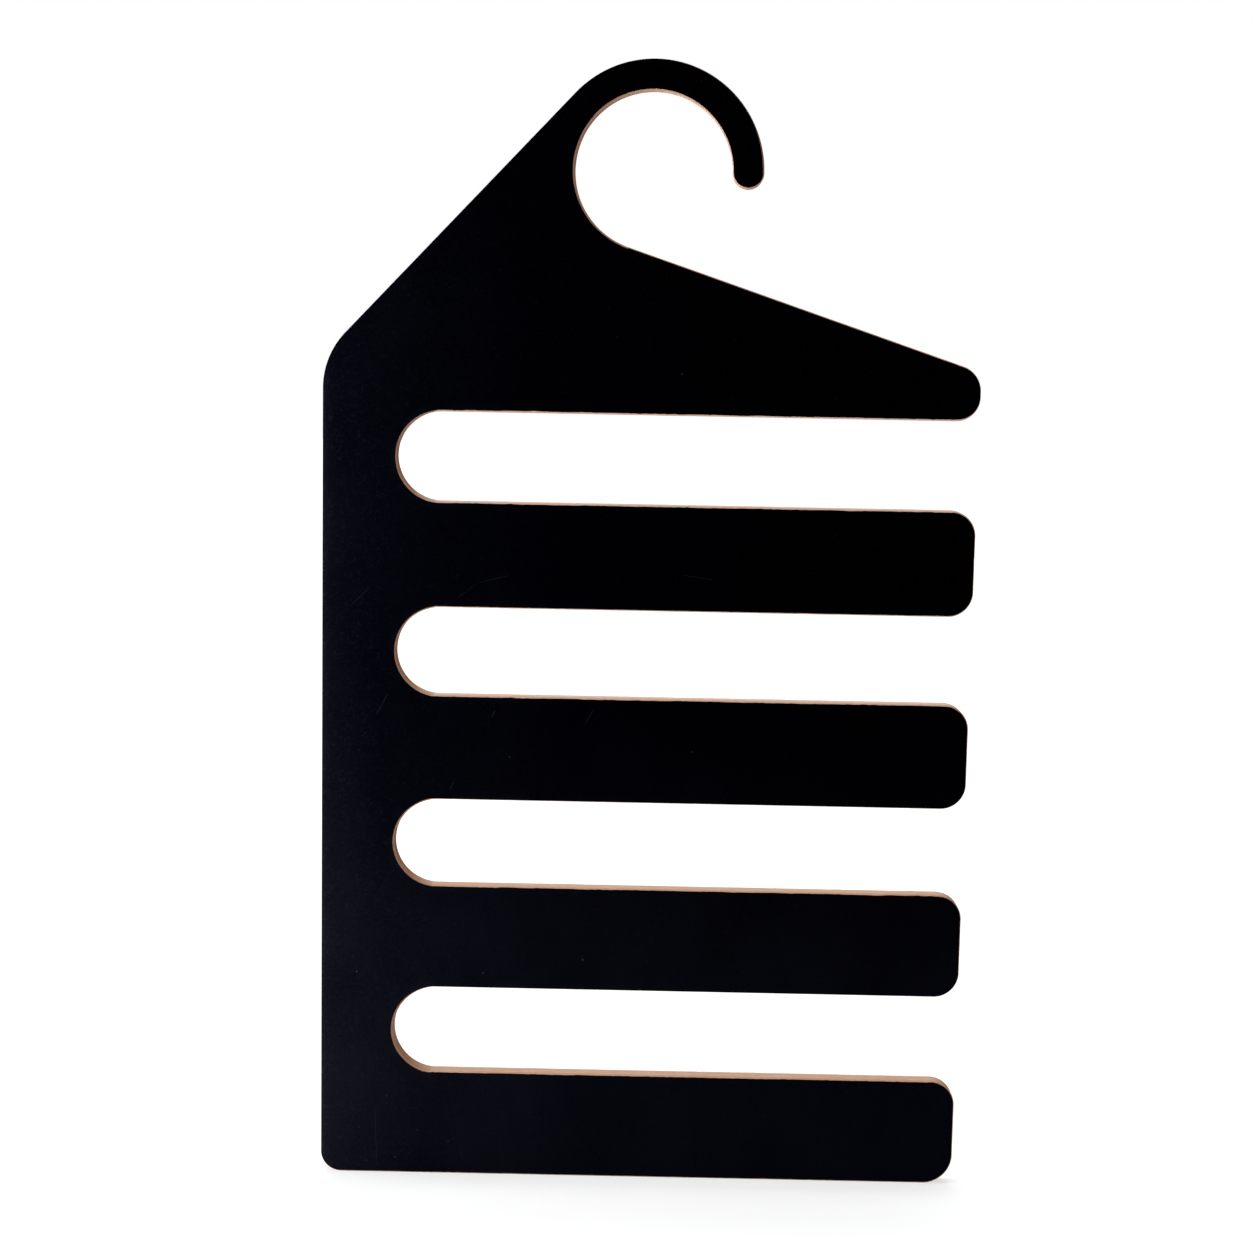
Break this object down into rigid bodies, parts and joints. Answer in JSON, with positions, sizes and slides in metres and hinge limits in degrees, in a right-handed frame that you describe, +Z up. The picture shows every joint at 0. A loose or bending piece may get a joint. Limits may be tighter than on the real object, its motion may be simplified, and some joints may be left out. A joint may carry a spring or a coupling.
{
  "type": "trouser rack",
  "caption": "Flat trouser rack routed from one black-faced plywood sheet: a rail hook, a spine and open-ended bars with slots between them for folded trousers.",
  "frame": {"origin": "rail seat: the top of the inside of the hook, midway through the board's thickness", "axes": "+X along the arms towards their open ends, +Y through the board from its front to its back, +Z up the spine"},
  "size_m": [0.35, 0.009, 0.6069],
  "materials": {
    "black_film": "smooth satin black resin film",
    "long_grain_veneer": "bare sanded veneer edge, grain up the board",
    "cross_grain_veneer": "bare sanded veneer edge, grain across the board"
  },
  "bodies": {
    "root": {"front_film": "black_film", "front_face_veneer": "long_grain_veneer", "front_crossband": "cross_grain_veneer", "front_core_veneer": "long_grain_veneer", "centre_crossband": "cross_grain_veneer", "back_core_veneer": "long_grain_veneer", "back_crossband": "cross_grain_veneer", "back_face_veneer": "long_grain_veneer", "back_film": "black_film"}
  },
  "joints": []
}
